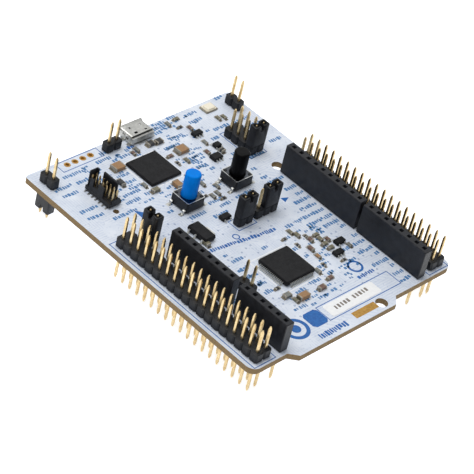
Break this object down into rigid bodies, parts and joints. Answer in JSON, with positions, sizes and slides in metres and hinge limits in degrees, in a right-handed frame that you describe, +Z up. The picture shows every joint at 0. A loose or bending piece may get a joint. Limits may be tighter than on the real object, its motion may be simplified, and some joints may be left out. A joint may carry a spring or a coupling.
{
  "type": "microcontroller development board",
  "caption": "Microcontroller development board with long stacking headers, socket strips, a USB socket, push buttons and pull-off jumper caps, standing on its pin tails.",
  "frame": {"origin": "middle of the footprint, on the surface that the pin tails stand on", "axes": "+Z up out of the component side, +Y towards the edge with the USB socket, +X towards the side with the 8-way and 10-way socket strips"},
  "size_m": [0.07, 0.0832, 0.0196],
  "materials": {
    "solder_mask": "white solder mask over glass-epoxy laminate, tan sawn edge",
    "black_plastic": "satin glass-filled moulding",
    "chip_moulding": "fine matte epoxy moulding",
    "gold_plate": "bright pale gold flash over nickel",
    "stainless_steel": "rolled sheet with a fine grain",
    "tin_plate": "satin tin plate",
    "blue_plastic": "satin acetal moulding"
  },
  "bodies": {
    "board": {"boot_header_base": "black_plastic", "boot_header_pins": "gold_plate", "circuit_board": "solder_mask", "clock_header_base": "black_plastic", "clock_header_pins": "gold_plate", "current_header_base": "black_plastic", "current_header_pins": "gold_plate", "debug_header_housing": "black_plastic", "debug_header_pins": "gold_plate", "left_header_base": "black_plastic", "left_header_pins": "gold_plate", "left_socket_6way": "black_plastic", "left_socket_6way_contacts": "gold_plate", "left_socket_8way": "black_plastic", "left_socket_8way_contacts": "gold_plate", "main_chip": "chip_moulding", "main_chip_leads": "tin_plate", "probe_chip": "chip_moulding", "rear_left_header_base": "black_plastic", "rear_left_header_pins": "gold_plate", "rear_right_header_base": "black_plastic", "rear_right_header_pins": "gold_plate", "reference_header_base": "black_plastic", "reference_header_pins": "gold_plate", "regulator": "chip_moulding", "regulator_leads": "tin_plate", "reset_button_base": "black_plastic", "reset_button_cover": "stainless_steel", "reset_button_dome": "stainless_steel", "reset_button_terminals": "tin_plate", "right_header_base": "black_plastic", "right_header_pins": "gold_plate", "right_socket_10way": "black_plastic", "right_socket_10way_contacts": "gold_plate", "right_socket_8way": "black_plastic", "right_socket_8way_contacts": "gold_plate", "supply_header_base": "black_plastic", "supply_header_pins": "gold_plate", "usb_shell": "stainless_steel", "usb_side_header_base": "black_plastic", "usb_side_header_pins": "gold_plate", "usb_tongue": "black_plastic", "user_button_base": "black_plastic", "user_button_cover": "stainless_steel", "user_button_dome": "stainless_steel", "user_button_terminals": "tin_plate"},
    "user_plunger": {"user_button_plunger": "blue_plastic"},
    "reset_plunger": {"reset_button_plunger": "black_plastic"},
    "reference_jumper": {"reference_jumper": "black_plastic", "reference_jumper_clip": "tin_plate"},
    "boot_jumper": {"boot_jumper": "black_plastic", "boot_jumper_clip": "tin_plate"},
    "clock_jumper": {"clock_jumper": "black_plastic", "clock_jumper_clip": "tin_plate"},
    "supply_jumper": {"supply_jumper": "black_plastic", "supply_jumper_clip": "tin_plate"},
    "spare_jumper_left": {"spare_jumper_left": "black_plastic", "spare_jumper_left_clip": "tin_plate"},
    "spare_jumper_right": {"spare_jumper_right": "black_plastic", "spare_jumper_right_clip": "tin_plate"}
  },
  "joints": [
    {"name": "user_button_press", "type": "slide", "parent": "board", "child": "user_plunger", "axis": [0, 0, -1], "range_m": [0, 0.00025], "stiffness_N_per_m": 600, "deforming": ["user_button_dome"]},
    {"name": "reset_button_press", "type": "slide", "parent": "board", "child": "reset_plunger", "axis": [0, 0, -1], "range_m": [0, 0.00025], "stiffness_N_per_m": 600, "deforming": ["reset_button_dome"]},
    {"name": "reference_jumper_pull", "type": "slide", "parent": "board", "child": "reference_jumper", "axis": [0, 0, 1], "range_m": [0, 0.0065]},
    {"name": "boot_jumper_pull", "type": "slide", "parent": "board", "child": "boot_jumper", "axis": [0, 0, 1], "range_m": [0, 0.0065]},
    {"name": "clock_jumper_pull", "type": "slide", "parent": "board", "child": "clock_jumper", "axis": [0, 0, 1], "range_m": [0, 0.0065]},
    {"name": "supply_jumper_pull", "type": "slide", "parent": "board", "child": "supply_jumper", "axis": [0, 0, 1], "range_m": [0, 0.0065]},
    {"name": "spare_jumper_left_pull", "type": "slide", "parent": "board", "child": "spare_jumper_left", "axis": [0, 0, -1], "range_m": [0, 0.0085]},
    {"name": "spare_jumper_right_pull", "type": "slide", "parent": "board", "child": "spare_jumper_right", "axis": [0, 0, -1], "range_m": [0, 0.0085]}
  ]
}
